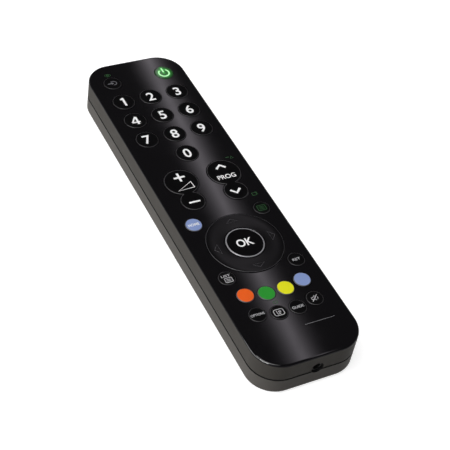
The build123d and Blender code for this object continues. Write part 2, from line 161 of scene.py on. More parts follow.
KEY_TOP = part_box("key_5")[1][2]
FACE_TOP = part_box("face_plate")[1][2]
PLATE_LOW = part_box("face_plate")[0][2]
HALF_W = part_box("face_plate")[1][0]
HALF_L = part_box("face_plate")[1][1]
CORNER_R = 12.5 * MM
KEY_LIP = 0.45 * MM
KEY_FLANGE = 0.5 * MM
FLANGE_TOP = PLATE_LOW - 1.1 * MM
POST_R = 1.4 * MM
NAV_LIP = 0.5 * MM
NAV_R = spot("key_nav_ring")[2] - NAV_LIP
NAV_Y = spot("key_nav_ring")[1]
OK_LIP = 0.8 * MM
OK_R = spot("key_ok")[2] - OK_LIP
NAV_HOLE_R = OK_R + 0.3 * MM
BIG_R = 7.7 * MM
SMALL_R = 5.45 * MM
KEY_GAP, NAV_GAP, ROCKER_GAP = 0.15 * MM, 0.25 * MM, 0.25 * MM
ROCKER_DEEP, RING_DEEP = 1.4 * MM, 1.533 * MM
TRUNNION_R, TRUNNION_OUT, TRUNNION_DROP = 0.5 * MM, 1.55 * MM, 0.35 * MM
PLUNGER_R, PLUNGER_LIFT = 1.6 * MM, 0.26 * MM
PLATE_SOFT = 0.06 * MM
SEAM_GAP = 0.5 * MM
LEAD_X, LEAD_Z, LEAD_R, LEAD_DEEP = 1.0 * MM, 9.9 * MM, 2.75 * MM, 5 * MM
SPRING_LONG, SPRING_R, SPRING_TAPER = 5.7 * MM, 3.3 * MM, 1.2 * MM
GLOW_REACH = 0.7 * MM
FLOOR_DROP = 0.05 * MM
WELD, APART = 0.0005 * MM, 20 * MM
CORNER_STEPS, RING_STEPS = 14, 160
CELLS = (("battery_cell_1", 1), ("battery_cell_2", -1))
ROCKERS = ("key_volume", "key_programme")


def rocker_middles(node):
    """The middles of a rocker's large and small lobe."""
    low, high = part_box(node)
    x = (low[0] + high[0]) / 2
    return (x, high[1] - BIG_R), (x, low[1] + SMALL_R)


# Finishes


def add_node(tree, kind, inputs=(), **settings):
    """Adds a shader node. Its inputs take values or the outputs of other nodes."""
    node = tree.nodes.new("ShaderNode" + kind)
    for key, value in settings.items():
        setattr(node, key, value)
    for socket, value in dict(inputs).items():
        if isinstance(value, bpy.types.NodeSocket):
            tree.links.new(value, node.inputs[socket])
        else:
            node.inputs[socket].default_value = value
    return node


def maths(tree, operation, *values, clamp=False):
    """The result of a math node on values or on the outputs of other nodes."""
    node = add_node(tree, "Math", enumerate(values), operation=operation, use_clamp=clamp)
    return node.outputs["Value"]


def empty_tree(block):
    """The node tree of a new material or world, without any node."""
    block.use_nodes = True
    block.node_tree.nodes.clear()
    return block.node_tree


def new_finish(name):
    """A material, its node tree and the place on the piece that its textures follow."""
    material = bpy.data.materials.new(name)
    tree = empty_tree(material)
    return material, tree, add_node(tree, "TexCoord").outputs["Object"]


def plastic(tree, inputs):
    """Ends a node tree with a principled shader."""
    shader = add_node(tree, "BsdfPrincipled", inputs)
    add_node(tree, "OutputMaterial", {"Surface": shader.outputs["BSDF"]})


def moulded(
        name, colour, rough, grain=0.25, depth=0.001, sway=0.05, tone=0.08, gloss=0.5, coat=0.0, metal=0.0):
    """Moulded plastic or metal: a fine grain, uneven gloss and a slight change of tone."""
    material, tree, place = new_finish(name)
    fine = add_node(tree, "TexNoise", {"Vector": place, "Scale": 1 / (grain * MM), "Detail": 3})
    bump = add_node(tree, "Bump", {
        "Height": fine.outputs["Fac"], "Strength": 0.6, "Distance": depth * MM})
    patches = add_node(tree, "TexNoise", {
        "Vector": place, "Scale": 1 / (9 * MM), "Detail": 5, "Roughness": 0.65})
    wide = patches.outputs["Fac"]
    uneven = add_node(tree, "MapRange", {
        "Value": wide, "From Min": 0.3, "From Max": 0.7,
        "To Min": max(rough - sway, 0.02), "To Max": rough + sway})
    blend = add_node(tree, "Mix", data_type="RGBA", inputs={
        "Factor": wide,
        "A": (*[c * (1 - tone) for c in colour], 1),
        "B": (*[min(c * (1 + tone), 1) for c in colour], 1)})
    plastic(tree, {
        "Base Color": blend.outputs["Result"], "Roughness": uneven.outputs["Result"],
        "Normal": bump.outputs["Normal"], "Specular IOR Level": gloss, "Metallic": metal,
        "Coat Weight": coat, "Coat Roughness": 0.08})
    return material


def lamp_print(name, colour):
    """The lit strokes of the power sign, in slightly uneven light."""
    material, tree, place = new_finish(name)
    noise = add_node(tree, "TexNoise", {"Vector": place, "Scale": 1 / (0.8 * MM)})
    blend = add_node(tree, "Mix", data_type="RGBA", inputs={
        "Factor": noise.outputs["Fac"], "A": (*colour, 1), "B": (0.62, 1.0, 0.62, 1)})
    plastic(tree, {
        "Base Color": (0.02, 0.1, 0.02, 1), "Roughness": 0.4,
        "Emission Color": blend.outputs["Result"], "Emission Strength": 0.95})
    return material


def glow_cap(name, base, halo, x, y, ring_r, bar):
    """The top of the power key, with a glow that fades away from the lit strokes."""
    material, tree, place = new_finish(name)
    centre = add_node(tree, "Mapping", {"Vector": place, "Location": (-x, -y, 0)})
    parts = add_node(tree, "SeparateXYZ", {"Vector": centre.outputs["Vector"]})

    def distance(*sides):
        return maths(tree, "SQRT", maths(tree, "ADD", *[maths(tree, "MULTIPLY", s, s) for s in sides]))

    across = maths(tree, "ABSOLUTE", parts.outputs["X"])
    along = parts.outputs["Y"]
    from_ring = maths(tree, "ABSOLUTE", maths(tree, "SUBTRACT", distance(across, along), ring_r))
    over = maths(tree, "MAXIMUM", maths(tree, "SUBTRACT", along, bar), 0.0)
    under = maths(tree, "MAXIMUM", maths(tree, "MULTIPLY", along, -1.0), 0.0)
    from_bar = distance(across, maths(tree, "ADD", over, under))
    near = maths(tree, "MINIMUM", from_ring, from_bar)
    glow = maths(tree, "EXPONENT", maths(tree, "MULTIPLY", near, -1 / GLOW_REACH))
    plastic(tree, {
        "Base Color": (*base, 1), "Roughness": 0.05,
        "Emission Color": (*halo, 1), "Emission Strength": maths(tree, "MULTIPLY", glow, 1.5)})
    return material


def cell_sleeve(name, body_colour, band_colour, start, end):
    """A battery sleeve: one colour, with a band of another at the end with the nub."""
    material = moulded(name, body_colour, 0.3, grain=0.6, depth=0.002, coat=0.3)
    tree = material.node_tree
    place = add_node(tree, "TexCoord").outputs["Object"]
    parts = add_node(tree, "SeparateXYZ", {"Vector": place})
    reach = add_node(tree, "MapRange", {
        "Value": parts.outputs["Y"], "From Min": start, "From Max": end})
    ramp = add_node(tree, "ValToRGB", {"Fac": reach.outputs["Result"]})
    ramp.color_ramp.interpolation = "CONSTANT"
    ramp.color_ramp.elements[0].color = (*body_colour, 1)
    ramp.color_ramp.elements[1].position = 0.72
    ramp.color_ramp.elements[1].color = (*band_colour, 1)
    shader = next(node for node in tree.nodes if node.type == "BSDF_PRINCIPLED")
    tree.links.new(ramp.outputs["Color"], shader.inputs["Base Color"])
    return material


# Making and placing a piece


def body_of(node):
    """The body that moves a node: its own, or else the case."""
    return node + "_body" if node + "_body" in frame["bodies"] else "case"


def add_piece(bm, name, node, materials, angle=30):
    """Turns a bmesh into a piece that stands for a node and rides with the node's body."""
    mesh = bpy.data.meshes.new(name)
    bm.to_mesh(mesh)
    bm.free()
    for material in materials:
        mesh.materials.append(material)
    mesh.shade_smooth()
    mesh.set_sharp_from_angle(angle=math.radians(angle))
    piece = bpy.data.objects.new(name, mesh)
    bpy.context.scene.collection.objects.link(piece)
    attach(piece, body_of(node))
    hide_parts(node)
    return piece


def even_out(piece):
    """Keeps the shading of broad flat faces even up to their rounded edges."""
    even = piece.modifiers.new("even_normals", "WEIGHTED_NORMAL")
    even.keep_sharp = True
    even.weight = 80


def clean(bm):
    """Joins doubled points and turns all faces outwards."""
    bmesh.ops.remove_doubles(bm, verts=bm.verts[:], dist=WELD)
    bmesh.ops.dissolve_degenerate(bm, edges=bm.edges[:], dist=0.0002 * MM)
    bmesh.ops.recalc_face_normals(bm, faces=bm.faces[:])
    if bm.calc_volume(signed=True) < 0:
        bmesh.ops.reverse_faces(bm, faces=bm.faces[:])


def fresh(bm, before):
    return [edge for edge in bm.edges if edge not in before]


def circle_loop(bm, x, y, r, z, segments=96):
    before = set(bm.edges)
    place = Matrix.Translation((x, y, z))
    bmesh.ops.create_circle(bm, cap_ends=False, radius=r, segments=segments, matrix=place)
    return fresh(bm, before)


def swing(bm, start, x, y, z, angle, steps):
    """Draws an arc on from a point and gives its other end."""
    arc = bmesh.ops.spin(bm, geom=[start], cent=(x, y, z), axis=(0, 0, 1), angle=angle, steps=steps)
    return next(part for part in arc["geom_last"] if isinstance(part, bmesh.types.BMVert))


def case_loop(bm, inset, z):
    """The outline of the case, drawn in by an inset."""
    before = set(bm.edges)
    r = CORNER_R - inset
    x = HALF_W - CORNER_R
    y = HALF_L - CORNER_R
    first = None
    last = None
    for turn, (cx, cy) in enumerate(((x, y), (-x, y), (-x, -y), (x, -y))):
        a = turn * math.pi / 2
        start = bm.verts.new((cx + r * math.cos(a), cy + r * math.sin(a), z))
        if last:
            bm.edges.new((last, start))
        else:
            first = start
        last = swing(bm, start, cx, cy, z, math.pi / 2, CORNER_STEPS)
    bm.edges.new((last, first))
    return fresh(bm, before)


def rocker_loop(bm, node, grow, z):
    """The outline of a rocker: round its large lobe, past its waist and round its small lobe."""
    (x, y0), (_, y1) = rocker_middles(node)
    big = BIG_R + max(grow, 0)
    small = SMALL_R + max(grow, 0)
    inset = max(-grow, 0.01 * MM)
    span = y0 - y1
    along = (span**2 + big**2 - small**2) / (span * 2)
    half = math.sqrt(big**2 - along**2)
    waist = y0 - along
    share = 1 - inset / big
    before = set(bm.edges)
    start = bm.verts.new((x + half * share, y0 - along * share, z))
    dip = math.atan2(along, half) + math.atan2(span - along, half)
    point = swing(bm, start, x, y0, z, FULL - 2 * math.atan2(half, along), 72)
    point = swing(bm, point, x - half, waist, z, -dip, 8)
    point = swing(bm, point, x, y1, z, FULL - 2 * math.atan2(half, span - along), 56)
    point = swing(bm, point, x + half, waist, z, -dip, 8)
    bmesh.ops.weld_verts(bm, targetmap={point: start})
    return fresh(bm, before)


def bridge(bm, loops, index=0):
    """A wall of faces from each loop to the next. Loops are held apart while they are joined."""
    for first, second in zip(loops, loops[1:]):
        corners = list(dict.fromkeys(v for edge in second for v in edge.verts))
        bmesh.ops.translate(bm, verts=corners, vec=(0, 0, -APART))
        made = bmesh.ops.bridge_loops(bm, edges=first + second)
        bmesh.ops.translate(bm, verts=corners, vec=(0, 0, APART))
        for face in made["faces"]:
            face.material_index = index


def fill(bm, loops):
    """A flat face inside the first loop, open at the other loops."""
    edges = [edge for loop in loops for edge in loop]
    made = bmesh.ops.triangle_fill(bm, use_beauty=True, use_dissolve=False, edges=edges)
    for part in made["geom"]:
        if isinstance(part, bmesh.types.BMFace):
            part.material_index = 0


def rounding(radius, top, steps=4):
    """Insets and heights down a rounded edge, from the flat top to the side."""
    turns = [math.pi / 2 * n / steps for n in range(steps + 1)]
    return [(radius * (1 - math.sin(a)), top - radius * (1 - math.cos(a))) for a in turns]


def full_turn(bm, points, middle, axis, steps):
    """Spins a profile once round an axis."""
    points = [bm.verts.new(point) for point in points]
    lines = [bm.edges.new(pair) for pair in zip(points, points[1:])]
    bmesh.ops.spin(
        bm, geom=points + lines, cent=middle, axis=axis, angle=FULL, steps=steps, use_merge=True)
    clean(bm)


def spin_round(bm, profile, x, y, steps=96):
    """Spins a profile of radius and height once round an upright axis."""
    full_turn(bm, [(x + r, y, z) for r, z in profile], (x, y, 0), (0, 0, 1), steps)


def ring_edges(bm, x, y, r, z, slack=0.004 * MM):
    """The edges of one ring of a spun shape."""
    def near(v):
        return abs(v.co.z - z) < slack and abs(math.hypot(v.co.x - x, v.co.y - y) - r) < slack

    return [edge for edge in bm.edges if all(near(v) for v in edge.verts)]


def round_edges(bm, edges, radius, segments=4):
    bmesh.ops.bevel(
        bm, geom=edges, offset=radius, offset_type="OFFSET", segments=segments,
        profile=0.5, affect="EDGES", material=-1, clamp_overlap=True)


def paint_ring(bm, x, y, inner, outer, low):
    """Gives the faces of a ring on top of a spun shape the second finish."""
    for face in bm.faces:
        middle = face.calc_center_median()
        if middle.z > low and inner < math.hypot(middle.x - x, middle.y - y) < outer:
            face.material_index = 1


# Printed marks


def add_mesh(bm, mesh, index, place=None):
    """Adds a mesh to a piece, with the finish of that index. The mesh itself is removed."""
    before = set(bm.faces)
    mesh.transform(place or Matrix.Identity(4))
    bm.from_mesh(mesh)
    for face in bm.faces:
        if face not in before:
            face.material_index = index
    bpy.data.meshes.remove(mesh)


def drawn(curve):
    """The mesh of a curve or a text. The curve itself is removed."""
    carrier = bpy.data.objects.new(curve.name, curve)
    mesh = bpy.data.meshes.new_from_object(carrier)
    bpy.data.objects.remove(carrier)
    bpy.data.curves.remove(curve)
    return mesh


def wire(points, radius, rings, closed=False):
    """A round wire through points, as a mesh."""
    curve = bpy.data.curves.new("line", "CURVE")
    curve.dimensions = "3D"
    curve.bevel_depth = radius
    curve.bevel_resolution = rings
    curve.use_fill_caps = True
    run = curve.splines.new("POLY")
    run.points.add(len(points) - 1)
    for knot, point in zip(run.points, points):
        knot.co = (*point, 1)
    run.use_cyclic_u = closed
    return drawn(curve)


LETTER_HALF = 0.05


def word(bm, middle, index, text, height, width=None, weight=0.01, across=0.0, up=0.0):
    """A printed word or number, centred on a point, with its height as given."""
    letters = bpy.data.curves.new("word", "FONT")
    letters.body = text
    letters.offset = weight
    letters.extrude = LETTER_HALF
    letters.fill_mode = "BOTH"
    letters.resolution_u = 6
    mesh = drawn(letters)
    xs = [v.co.x for v in mesh.vertices]
    ys = [v.co.y for v in mesh.vertices]
    scale = height * MM / (max(ys) - min(ys))
    stretch = width * MM / (max(xs) - min(xs)) if width else scale
    centre = Matrix.Translation((-(max(xs) + min(xs)) / 2, -(max(ys) + min(ys)) / 2, 0))
    shape = Matrix.Diagonal((stretch, scale, sizes().print_height / LETTER_HALF, 1))
    add_mesh(bm, mesh, index, placed(middle, across, up) @ shape @ centre)


def line(bm, middle, index, points, width, closed=False, across=0.0, up=0.0):
    """A printed line through points."""
    radius = width * MM / 2
    mesh = wire([(x * MM, y * MM, 0) for x, y in points], radius, 2, closed)
    flat = Matrix.Diagonal((1, 1, sizes().print_height / radius, 1))
    add_mesh(bm, mesh, index, placed(middle, across, up) @ flat)


def placed(middle, across, up):
    x, y, z = middle
    return Matrix.Translation((x + across * MM, y + up * MM, z))


def draw(bm, middle, marks, index=2):
    """Draws marks round a point. Each is what word or line takes from its text or its points on."""
    for mark in marks:
        kind = word if isinstance(mark[0], str) else line
        kind(bm, middle, index, *mark)


def arc_points(r, start, end, steps=20, cx=0.0, cy=0.0):
    """Points along an arc from one angle to another in degrees."""
    turns = [math.radians(start + (end - start) * n / steps) for n in range(steps + 1)]
    return [(cx + r * math.cos(a), cy + r * math.sin(a)) for a in turns]


def rounded_frame(half_w, half_h, r, steps=5):
    """Points round a frame with rounded corners."""
    points = []
    for cx, cy, turn in ((1, 1, 0), (-1, 1, 90), (-1, -1, 180), (1, -1, 270)):
        points += arc_points(r, turn, turn + 90, steps, cx * (half_w - r), cy * (half_h - r))
    return points


# Marks in millimetres: a line as its points, its width, whether it is closed and its place, and
# a word as its text, its height, width and weight and its place

POWER_X, POWER_Y, POWER_RING, POWER_BAR = -0.15, -0.35, 2.5, 3.6
KEY_SIGNS = {
    "key_1": [([(-1.0, 1.65), (0.25, 2.5)], 0.85), ([(0.3, 2.8), (0.3, -2.8)], 1.05)],
    "key_4": [
        ([(0.85, 2.25), (0.85, -2.8)], 1.05),
        ([(0.7, 2.35), (-1.8, -1.2)], 0.8),
        ([(-1.95, -1.3), (2.05, -1.3)], 0.8),
    ],
    "key_power": [
        (arc_points(POWER_RING, 128, 412, 40), 0.72, False, POWER_X, POWER_Y),
        ([(0, 0.5), (0, POWER_BAR)], 0.72, False, POWER_X, POWER_Y),
    ],
    "key_home": [("HOME", 1.5, 5.0, 0.02)],
    "key_list": [
        ("LIST", 1.15, 4.0, 0.01, -0.1, 1.25),
        (rounded_frame(1.6, 1.15, 0.35), 0.28, True, 0.3, -1.1),
        ([(-1.0, 0.3), (0.9, 0.3)], 0.24, False, 0.3, -1.1),
        ([(-1.0, -0.4), (0.9, -0.4)], 0.24, False, 0.3, -1.1),
    ],
    "key_return": [("RET", 1.3, 3.6)],
    "key_options": [("OPTIONS", 1.2, 6.1)],
    "key_subtitle": [
        (rounded_frame(2.15, 1.55, 0.9), 0.28, True),
        ([(-0.8, 0.95), (-0.8, -0.8), (0.6, -0.8)], 0.28),
        (rounded_frame(0.4, 0.35, 0.15), 0.25, True, 0.45, 0.2),
    ],
    "key_guide": [("GUIDE", 1.3, 5.2)],
    "key_mute": [
        ([(-1.45, -0.5), (-1.45, 0.5), (-0.7, 0.5), (0.25, 1.25), (0.25, -1.25), (-0.7, -0.5)],
         0.26, True),
        ([(-1.6, -1.5), (1.6, 1.5)], 0.28),
        (arc_points(1.3, -35, 10, 6), 0.26),
    ],
    "key_text": [
        (rounded_frame(1.9, 1.5, 0.4), 0.3, True),
        *[([(-1.2, rise), (1.2, rise)], 0.28) for rise in (0.7, 0, -0.7)],
    ],
    "key_input": [
        (arc_points(1.3, -110, 110, 16, 0.7) + [(-0.6, 1.25)], 0.32),
        ([(-2.4, 0), (0.4, 0)], 0.5),
        ([(-0.5, 0.7), (0.5, 0), (-0.5, -0.7)], 0.35),
    ],
    "key_volume": [
        ([(-2.65, 0), (2.65, 0)], 1.05, False, -10.2, 13.3),
        ([(0, -2.65), (0, 2.65)], 1.05, False, -10.2, 13.3),
        ([(-2.6, 0), (2.6, 0)], 0.9, False, -10.0, -2.6),
        ([(-13.9, 5.5), (-6.4, 9.5), (-6.1, 5.8)], 0.5, True),
    ],
    "key_programme": [
        ([(8.0, 13.0), (10.4, 15.1), (12.6, 13.0)], 1.15),
        ([(8.0, -1.0), (10.3, -3.3), (12.7, -1.0)], 1.15),
        ("PROG", 2.6, 8.8, 0.016, 10.4, 7.5),
    ],
    "key_nav_ring": [
        ([(-2.75, -18.95), (-0.1, -17.1), (2.75, -18.95)], 0.32, True),
        ([(-2.75, -44.0), (0, -45.9), (2.75, -44.0)], 0.32, True),
        ([(-12.0, -28.7), (-14.3, -31.4), (-12.0, -34.1)], 0.32, True),
        ([(12.0, -28.7), (14.3, -31.4), (12.0, -34.1)], 0.32, True),
    ],
    "key_ok": [("OK", 4.2, 7.6, 0.02, -0.1, -31.3)],
}
PLATE_SIGNS = [
    (arc_points(1.9, 35, 145, 10, 0, -1.0), 0.3, False, -13.5, 88.4),
    (arc_points(1.9, 215, 325, 10, 0, 1.0), 0.3, False, -13.5, 88.4),
    (arc_points(0.45, 0, 360, 12), 0.5, False, -13.5, 88.4),
    ([(-1.6, 0.5), (0.2, 0.5)], 0.35, False, 16.9, 18.4),
    ([(0.5, -0.6), (1.3, 0.7), (2.0, -0.6)], 0.35, True, 16.9, 18.4),
    (rounded_frame(1.0, 0.8, 0.25), 0.3, True, 17.3, -6.2),
    ([(0.2, 0.9), (1.4, 0.9), (1.4, -0.6)], 0.3, False, 17.3, -6.2),
    (rounded_frame(0.9, 0.6, 0.3), 0.3, True, -3.2, -65.2),
]
PLATE_RULE = ([(2.7, -79.6), (16.3, -79.6)], 0.26)


# Keys


def key_body(bm, node):
    """The cap, flange and post of one round key. Gives the middle of its top."""
    x, y, reach = spot(node)
    r = reach - KEY_LIP
    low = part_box(node)[0][2]
    top = KEY_TOP - sizes().print_height
    flange_low = FLANGE_TOP - KEY_FLANGE
    soft = sizes().key_round
    band = sizes().rim_inset + sizes().rim_width
    spin_round(bm, [
        (0, top), (r - band - soft, top), (r - soft, top), (r, top),
        (r, FLANGE_TOP), (reach, FLANGE_TOP), (reach, flange_low),
        (POST_R, flange_low), (POST_R, low), (0, low),
    ], x, y)
    round_edges(bm, ring_edges(bm, x, y, r, top), soft)
    paint_ring(bm, x, y, r - band, r - sizes().rim_inset, top - soft / 2)
    return x, y, top


def black_key_finishes():
    tint = colours()
    return [
        moulded("key_black", tint.keys, 0.45, grain=0.12, depth=0.0012, tone=0.1, gloss=0.08),
        moulded("key_outline", tint.outline, 0.4, grain=0.2),
        moulded("print_white", tint.print_white, 0.5, grain=0.15, tone=0.03),
    ]


def make_key(node, name, materials, marks=(), dull_wall=False):
    """A round key with its signs, or else the marks given. A dull wall looks like the outline."""
    bm = bmesh.new()
    middle = key_body(bm, node)
    if dull_wall:
        bm.normal_update()
        for face in bm.faces:
            if abs(face.normal.z) < 0.75 and face.calc_center_median().z > FLANGE_TOP:
                face.material_index = 1
    draw(bm, middle, KEY_SIGNS.get(node, marks))
    add_piece(bm, name, node, materials)


def rocker_body(bm, node):
    """The cap of a rocker, its trunnion and its two plungers, which stay clear of the sheet
    when it tilts. Gives the height of its top."""
    (x, y0), (_, y1) = rocker_middles(node)
    top = KEY_TOP - sizes().print_height
    floor = PLATE_LOW - ROCKER_DEEP
    band = sizes().rim_inset + sizes().rim_width
    curve = rounding(sizes().key_round, top)
    inner = rocker_loop(bm, node, -band, top)
    steps = [rocker_loop(bm, node, -inset, z) for inset, z in curve]
    fill(bm, [inner])
    bridge(bm, [inner] + steps[:3], 1)
    bridge(bm, steps[2:])
    wall = rocker_loop(bm, node, 0, floor)
    bridge(bm, [steps[-1], wall])
    fill(bm, [wall])
    clean(bm)
    waist = y0 - ((y0 - y1) ** 2 + BIG_R**2 - SMALL_R**2) / ((y0 - y1) * 2)
    lying = Matrix.Rotation(math.pi / 2, 4, "Y")
    place = Matrix.Translation((x, waist, floor - TRUNNION_DROP)) @ lying
    rod(bm, 24, TRUNNION_R, (SMALL_R + TRUNNION_OUT) * 2, place)
    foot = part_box(node)[0][2] + PLUNGER_LIFT
    for y in (y0, y1):
        rod(bm, 32, PLUNGER_R, floor - foot, Matrix.Translation((x, y, (foot + floor) / 2)))
    return top


def rod(bm, segments, radius, length, place):
    bmesh.ops.create_cone(
        bm, cap_ends=True, segments=segments, radius1=radius, radius2=radius, depth=length, matrix=place)


def merged_copy(node):
    """A copy of a node's mesh with its loose triangles joined and its flat faces made whole."""
    bm = bmesh.new()
    bm.from_mesh(frame["nodes"][node].data)
    bmesh.ops.remove_doubles(bm, verts=bm.verts[:], dist=WELD)
    bmesh.ops.dissolve_limit(
        bm, angle_limit=math.radians(0.3), verts=bm.verts[:], edges=bm.edges[:])
    for face in bm.faces:
        face.material_index = 0
    return bm


def rim_edges(bm, z, slack=0.01 * MM):
    """The edges on the outer wall of the case at one height."""
    def near(v):
        return abs(v.co.z - z) <= slack and on_outline(v.co)

    return [edge for edge in bm.edges if all(near(v) for v in edge.verts)]


def on_outline(point, slack=0.03 * MM):
    """Whether a point lies on the outer wall of the case."""
    x = max(abs(point.x) - (HALF_W - CORNER_R), 0)
    y = max(abs(point.y) - (HALF_L - CORNER_R), 0)
    return (x > 0 or y > 0) and abs(math.hypot(x, y) - CORNER_R) < slack


def shade_hole(bm):
    """Paints shade inside the hole for the lead: its wall gets the near-black second material."""
    for face in bm.faces:
        if face.calc_center_median().y >= LEAD_DEEP - HALF_L:
            continue
        reaches = [math.hypot(v.co.x - LEAD_X, v.co.z - LEAD_Z) for v in face.verts]
        if all(abs(reach - LEAD_R) < 0.03 * MM for reach in reaches):
            face.material_index = 1


def plain_copy(node, name, material):
    """A piece that keeps the shape of its node."""
    return add_piece(merged_copy(node), name, node, [material])


# Operators


class REMOTE_OT_face_plate(bpy.types.Operator):
    """Make the glossy face plate with its rounded rim and its openings"""

    bl_idname = "remote.face_plate"
    bl_label = "Face plate"

    def execute(self, context):
        bm = bmesh.new()
        top = FACE_TOP
        rim = sizes().plate_round
        support = case_loop(bm, rim + 0.1 * MM, top)
        steps = [case_loop(bm, inset, z) for inset, z in rounding(rim, top, 8)]
        foot = case_loop(bm, 0, PLATE_LOW)
        bridge(bm, [support] + steps + [foot])
        upper_holes = []
        lower_holes = []

        def cut(loop_at):
            """Lines an opening, with a soft upper edge."""
            soft = PLATE_SOFT
            levels = [(soft * 2, top), (soft, top), (soft * 0.3, top - soft * 0.3), (0, top - soft)]
            rings = [loop_at(grow, z) for grow, z in levels + [(0, PLATE_LOW)]]
            bridge(bm, rings)
            upper_holes.append(rings[0])
            lower_holes.append(rings[-1])

        for node in ROUND:
            x, y, reach = spot(node)
            r = reach - KEY_LIP + KEY_GAP
            cut(lambda grow, z: circle_loop(bm, x, y, r + grow, z))
        cut(lambda grow, z: circle_loop(bm, 0, NAV_Y, NAV_R + NAV_GAP + grow, z, RING_STEPS))
        for node in ROCKERS:
            cut(lambda grow, z: rocker_loop(bm, node, ROCKER_GAP + grow, z))
        fill(bm, [support] + upper_holes)
        fill(bm, [foot] + lower_holes)
        clean(bm)
        for face in bm.faces:
            middle = face.calc_center_median()
            if middle.z < top - rim * 0.4 and on_outline(middle, 0.45 * MM):
                face.material_index = 2
        middle = (0, 0, top - sizes().print_height * 0.4)
        draw(bm, middle, PLATE_SIGNS, 1)
        draw(bm, middle, [PLATE_RULE], 3)
        tint = colours()
        add_piece(bm, "face_cover_plate", "face_plate", [
            moulded("face_gloss", tint.face, 0.05, grain=40, depth=0.002, sway=0.012, tone=0.05),
            moulded("print_green", tint.print_green, 0.5),
            moulded("plate_side", tint.face, 0.35, grain=0.2, sway=0.03, tone=0.05, gloss=0.12),
            moulded("plate_rule", (0.17, 0.17, 0.18), 0.5),
        ])
        return {"FINISHED"}


class REMOTE_OT_shells(bpy.types.Operator):
    """Make the two satin shells of the case, with soft edges at the parting line and painted shade in the
    parting line and inside the hole for the lead
    """

    bl_idname = "remote.shells"
    bl_label = "Shells"

    def execute(self, context):
        tint = colours()
        upper = shell_satin("upper_satin", tint.upper)
        lower = shell_satin("lower_satin", tint.lower)
        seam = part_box("upper_case")[0][2]
        top = merged_copy("upper_case")
        round_edges(top, rim_edges(top, seam), sizes().seam_round, 2)
        shade_hole(top)
        # A near-black material that is painted shade, not a colour of the shells: it darkens the parting
        # line and the hole for the lead.
        shade_paint = moulded("painted_seam_and_hole_shade", (0.006, 0.006, 0.006), 0.8, grain=0.22, depth=0.004, gloss=0.1)
        even_out(add_piece(top, "upper_shell", "upper_case", [upper, shade_paint]))
        bottom = merged_copy("lower_case")
        seam -= SEAM_GAP
        deep = sizes().seam_shade
        round_edges(bottom, rim_edges(bottom, seam), deep, 3)
        # Painted shade: the rounded top edge of the lower shell, and all of it above that edge in the
        # parting line, get the near-black second material.
        for face in bottom.faces:
            if all(seam - deep - 0.01 * MM < v.co.z for v in face.verts):
                face.material_index = 1
        shade_hole(bottom)
        even_out(add_piece(bottom, "lower_shell", "lower_case", [lower, shade_paint]))
        return {"FINISHED"}


def shell_satin(name, colour):
    return moulded(name, colour, 0.55, grain=0.22, depth=0.012, gloss=0.05, tone=0.06)


class REMOTE_OT_number_keys(bpy.types.Operator):
    """Make the ten number keys"""

    bl_idname = "remote.number_keys"
    bl_label = "Number keys"

    def execute(self, context):
        finishes = black_key_finishes()
        height = sizes().digit_height / MM
        for node in DIGITS:
            number = node[-1]
            make_key(node, "number_key_" + number, finishes, [(number, height, None, 0.017)])
        return {"FINISHED"}


class REMOTE_OT_coloured_keys(bpy.types.Operator):
    """Make the four coloured keys and the blue start key"""

    bl_idname = "remote.coloured_keys"
    bl_label = "Coloured keys"

    def execute(self, context):
        tint = colours()
        rim = moulded("colour_outline", (0.10, 0.10, 0.105), 0.4)
        white = moulded("colour_print", tint.print_white, 0.5, tone=0.03)
        shades = (tint.red, tint.green, tint.yellow, tint.blue, tint.blue)
        for node, colour in zip(COLOURED + ["key_home"], shades):
            name = node if node in COLOURED else "home"
            cap = moulded(name + "_plastic", colour, 0.4, grain=0.15, depth=0.002, tone=0.05, gloss=0.3)
            make_key(node, node[4:] + "_colour_key", [cap, rim, white], dull_wall=True)
        return {"FINISHED"}


class REMOTE_OT_function_keys(bpy.types.Operator):
    """Make the small black keys with their words and signs"""

    bl_idname = "remote.function_keys"
    bl_label = "Function keys"

    def execute(self, context):
        tint = colours()
        finishes = black_key_finishes()
        small_print = moulded("print_small", (0.6, 0.6, 0.62), 0.5)
        dim = moulded("print_dim", tint.print_dim, 0.5)
        green = moulded("print_key_green", tint.print_green, 0.5)
        inks = {"text": green, "input": dim}
        for name in ("list", "return", "options", "subtitle", "guide", "mute", "text", "input"):
            make_key("key_" + name, name + "_key", finishes[:2] + [inks.get(name, small_print)])
        return {"FINISHED"}


class REMOTE_OT_power_key(bpy.types.Operator):
    """Make the power key with its lit sign"""

    bl_idname = "remote.power_key"
    bl_label = "Power key"

    def execute(self, context):
        tint = colours()
        x, y, _ = spot("key_power")
        cap = glow_cap(
            "power_cap", tint.face, tint.lamp_halo, x + POWER_X * MM, y + POWER_Y * MM,
            POWER_RING * MM, POWER_BAR * MM)
        make_key("key_power", "power_key", [cap, cap, lamp_print("power_light", tint.lamp)])
        return {"FINISHED"}


class REMOTE_OT_rockers(bpy.types.Operator):
    """Make the volume rocker and the programme rocker"""

    bl_idname = "remote.rockers"
    bl_label = "Rockers"

    def execute(self, context):
        finishes = black_key_finishes()
        for node in ROCKERS:
            bm = bmesh.new()
            top = rocker_body(bm, node)
            draw(bm, (0, 0, top), KEY_SIGNS[node])
            add_piece(bm, node[4:] + "_rocker", node, finishes)
        return {"FINISHED"}


